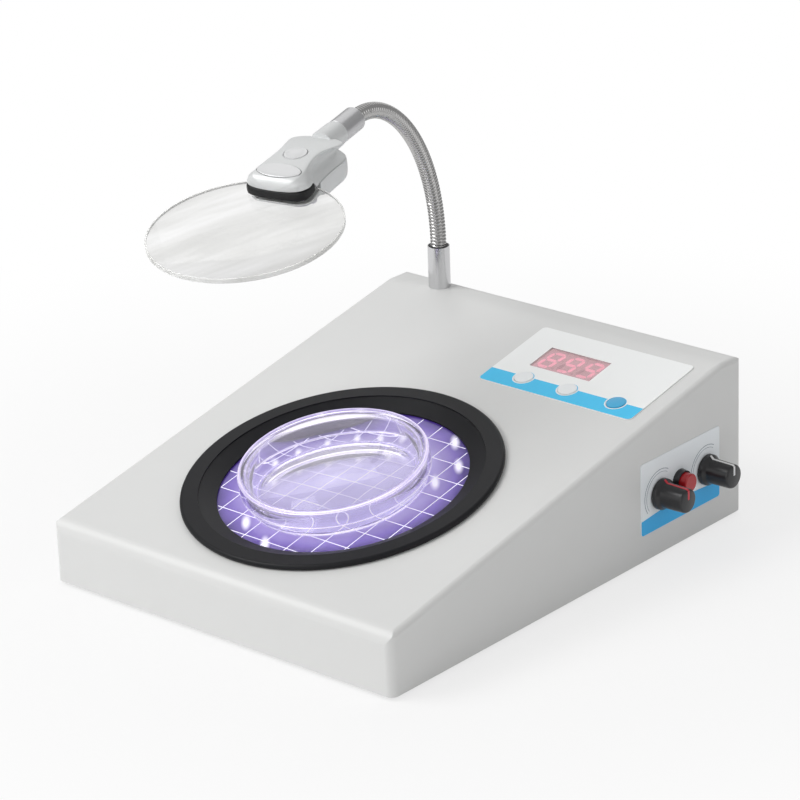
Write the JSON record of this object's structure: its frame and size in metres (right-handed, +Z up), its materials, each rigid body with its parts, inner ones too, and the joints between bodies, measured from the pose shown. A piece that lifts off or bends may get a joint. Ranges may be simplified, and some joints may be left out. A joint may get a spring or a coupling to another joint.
{
  "type": "colony counter",
  "caption": "Bench colony counter: sloped casing, lit round counting stage with a lidded dish, display panel, side knobs and a gooseneck magnifier.",
  "frame": {"origin": "on the bench, under the centre of the casing's footprint", "axes": "+Z up, +X to the user's right, -Y towards the user"},
  "size_m": [0.2377, 0.2746, 0.2085],
  "materials": {
    "casing": "fine satin powder coat, warm white",
    "base_plate": "plain zinc-plated sheet",
    "screws": "zinc-plated pan-head screws",
    "feet": "matte black rubber",
    "bezel": "moulded black, satin gloss",
    "stage_plate": "clear glass plate with a printed white grid, lit from below in violet",
    "stage_rim": "matte black",
    "light_chamber": "matte black inside of the light box",
    "lamp_board": "white solder mask",
    "lamps": "white surface-mount lamps",
    "stage_cushions": "grey silicone rubber",
    "press_switch": "black switch body",
    "dish_base": "clear polystyrene",
    "dish_lid": "clear polystyrene",
    "panel_foil": "white foil with a sky-blue band",
    "display_window": "red-tinted pane",
    "display_module": "grey face with three red seven-segment digits",
    "display_board": "green solder mask",
    "board_posts": "plated stand-offs",
    "key_switches": "black tact switches",
    "key_left": "white",
    "key_middle": "white",
    "key_right": "sky blue with a pale outline",
    "side_label": "pale grey foil with a blue band and thin dial arcs",
    "control_left": "plated control body",
    "control_right": "plated control body",
    "panel_nuts": "plated nuts",
    "shaft_left": "turned shaft",
    "shaft_right": "turned shaft",
    "knob_left": "black with a red pointer line",
    "knob_right": "black with a white pointer line",
    "button_body": "black",
    "button_cap": "red",
    "main_board": "green solder mask",
    "board_parts": "chips, sockets and a capacitor",
    "buzzer": "black",
    "power_inlet": "black inlet with a plated pin",
    "switch_frame": "black",
    "switch_rocker": "black",
    "neck_socket": "polished chrome",
    "link_1": "plated wire coil",
    "link_2": "plated wire coil",
    "link_3": "plated wire coil",
    "link_4": "plated wire coil",
    "link_5": "plated wire coil",
    "link_6": "plated wire coil",
    "link_7": "plated wire coil",
    "link_8": "plated wire coil",
    "sleeve": "polished chrome, satin collar",
    "sleeve_screw": "blackened set screw",
    "head_upper": "silver paint",
    "head_lower": "silver paint",
    "head_door": "silver paint",
    "head_cells": "button cells",
    "head_board": "green solder mask",
    "head_button": "pale silver",
    "head_lamps": "clear lamp bodies",
    "head_jaw": "black rubber",
    "lens": "clear, polished"
  },
  "bodies": {
    "case": {"casing": "casing", "base_plate": "base_plate", "screws": "screws", "feet": "feet", "bezel": "bezel", "light_chamber": "light_chamber", "lamp_board": "lamp_board", "lamps": "lamps", "stage_cushions": "stage_cushions", "press_switch": "press_switch", "panel_foil": "panel_foil", "display_window": "display_window", "display_module": "display_module", "display_board": "display_board", "board_posts": "board_posts", "key_switches": "key_switches", "side_label": "side_label", "control_left": "control_left", "control_right": "control_right", "panel_nuts": "panel_nuts", "button_body": "button_body", "main_board": "main_board", "board_parts": "board_parts", "buzzer": "buzzer", "power_inlet": "power_inlet", "switch_frame": "switch_frame", "neck_socket": "neck_socket"},
    "stage": {"stage_plate": "stage_plate", "stage_rim": "stage_rim"},
    "dish": {"dish_base": "dish_base"},
    "lid": {"dish_lid": "dish_lid"},
    "left_key": {"key_left": "key_left"},
    "middle_key": {"key_middle": "key_middle"},
    "right_key": {"key_right": "key_right"},
    "left_knob": {"shaft_left": "shaft_left", "knob_left": "knob_left"},
    "right_knob": {"shaft_right": "shaft_right", "knob_right": "knob_right"},
    "red_button": {"button_cap": "button_cap"},
    "rocker": {"switch_rocker": "switch_rocker"},
    "neck_1": {"link_1": "link_1"},
    "neck_2": {"link_2": "link_2"},
    "neck_3": {"link_3": "link_3"},
    "neck_4": {"link_4": "link_4"},
    "neck_5": {"link_5": "link_5"},
    "neck_6": {"link_6": "link_6"},
    "neck_7": {"link_7": "link_7"},
    "neck_8": {"link_8": "link_8"},
    "head": {"sleeve": "sleeve", "sleeve_screw": "sleeve_screw", "head_upper": "head_upper", "head_lower": "head_lower", "head_door": "head_door", "head_cells": "head_cells", "head_board": "head_board", "head_lamps": "head_lamps", "head_jaw": "head_jaw", "lens": "lens"},
    "lamp_button": {"head_button": "head_button"}
  },
  "joints": [
    {"name": "stage_press", "type": "slide", "parent": "case", "child": "stage", "axis": [0, 0.2011, -0.9796], "range_m": [0, 0.0006], "stiffness_N_per_m": 4000, "springref_m": -0.001},
    {"name": "dish_lift", "type": "slide", "parent": "stage", "child": "dish", "axis": [0, -0.2011, 0.9796], "range_m": [0, 0.02]},
    {"name": "lid_lift", "type": "slide", "parent": "dish", "child": "lid", "axis": [0, -0.2011, 0.9796], "range_m": [0, 0.02]},
    {"name": "left_key_press", "type": "slide", "parent": "case", "child": "left_key", "axis": [0, 0.2011, -0.9796], "range_m": [0, 0.0004], "stiffness_N_per_m": 1500, "springref_m": -0.0004},
    {"name": "middle_key_press", "type": "slide", "parent": "case", "child": "middle_key", "axis": [0, 0.2011, -0.9796], "range_m": [0, 0.0004], "stiffness_N_per_m": 1500, "springref_m": -0.0004},
    {"name": "right_key_press", "type": "slide", "parent": "case", "child": "right_key", "axis": [0, 0.2011, -0.9796], "range_m": [0, 0.0004], "stiffness_N_per_m": 1500, "springref_m": -0.0004},
    {"name": "left_knob_turn", "type": "hinge", "parent": "case", "child": "left_knob", "pos_m": [0.11, 0.06705, 0.0338], "axis": [1, 0, 0], "range_deg": [-150, 150]},
    {"name": "right_knob_turn", "type": "hinge", "parent": "case", "child": "right_knob", "pos_m": [0.11, 0.10505, 0.0338], "axis": [1, 0, 0], "range_deg": [-150, 150]},
    {"name": "red_button_press", "type": "slide", "parent": "case", "child": "red_button", "axis": [-1, 0, 0], "range_m": [0, 0.0025], "stiffness_N_per_m": 800, "springref_m": -0.001},
    {"name": "rocker_tip", "type": "hinge", "parent": "case", "child": "rocker", "pos_m": [0.034, 0.13575, 0.032], "axis": [1, 0, 0], "range_deg": [-7, 7]},
    {"name": "neck_bend_1", "type": "hinge", "parent": "case", "child": "neck_1", "pos_m": [-0.079, 0.12475, 0.1087], "axis": [0.9781, 0.2079, 0], "range_deg": [-6, 4]},
    {"name": "neck_side_1", "type": "hinge", "parent": "neck_1", "child": "neck_2", "pos_m": [-0.0787, 0.12334, 0.12584], "axis": [0.205, -0.9644, -0.1672], "range_deg": [-8, 8]},
    {"name": "neck_bend_2", "type": "hinge", "parent": "neck_2", "child": "neck_3", "pos_m": [-0.07781, 0.11914, 0.1425], "axis": [0.9781, 0.2079, 0], "range_deg": [-6, 4]},
    {"name": "neck_side_2", "type": "hinge", "parent": "neck_3", "child": "neck_4", "pos_m": [-0.07635, 0.11228, 0.1582], "axis": [0.1819, -0.8559, -0.4841], "range_deg": [-8, 8]},
    {"name": "neck_bend_3", "type": "hinge", "parent": "neck_4", "child": "neck_5", "pos_m": [-0.07436, 0.10291, 0.17249], "axis": [0.9781, 0.2079, 0], "range_deg": [-6, 4]},
    {"name": "neck_side_3", "type": "hinge", "parent": "neck_5", "child": "neck_6", "pos_m": [-0.07188, 0.09124, 0.18487], "axis": [0.135, -0.6353, -0.7604], "range_deg": [-8, 8]},
    {"name": "neck_bend_4", "type": "hinge", "parent": "neck_6", "child": "neck_7", "pos_m": [-0.06895, 0.07745, 0.19472], "axis": [0.9781, 0.2079, 0], "range_deg": [-6, 4]},
    {"name": "neck_side_4", "type": "hinge", "parent": "neck_7", "child": "neck_8", "pos_m": [-0.06562, 0.06181, 0.20108], "axis": [0.0466, -0.2193, -0.9745], "range_deg": [-8, 8]},
    {"name": "neck_bend_5", "type": "hinge", "parent": "neck_8", "child": "head", "pos_m": [-0.06206, 0.04504, 0.20235], "axis": [0.9781, 0.2079, 0], "range_deg": [-6, 4]},
    {"name": "lamp_button_press", "type": "slide", "parent": "head", "child": "lamp_button", "axis": [-0.039, 0.1833, -0.9823], "range_m": [0, 0.0008], "stiffness_N_per_m": 1200, "springref_m": -0.0005}
  ],
  "couplings": [
    {"joint": "neck_bend_2", "follows": "neck_bend_1", "ratio": 1},
    {"joint": "neck_side_2", "follows": "neck_side_1", "ratio": 1},
    {"joint": "neck_bend_3", "follows": "neck_bend_1", "ratio": 1},
    {"joint": "neck_side_3", "follows": "neck_side_1", "ratio": 1},
    {"joint": "neck_bend_4", "follows": "neck_bend_1", "ratio": 1},
    {"joint": "neck_side_4", "follows": "neck_side_1", "ratio": 1},
    {"joint": "neck_bend_5", "follows": "neck_bend_1", "ratio": 1}
  ]
}
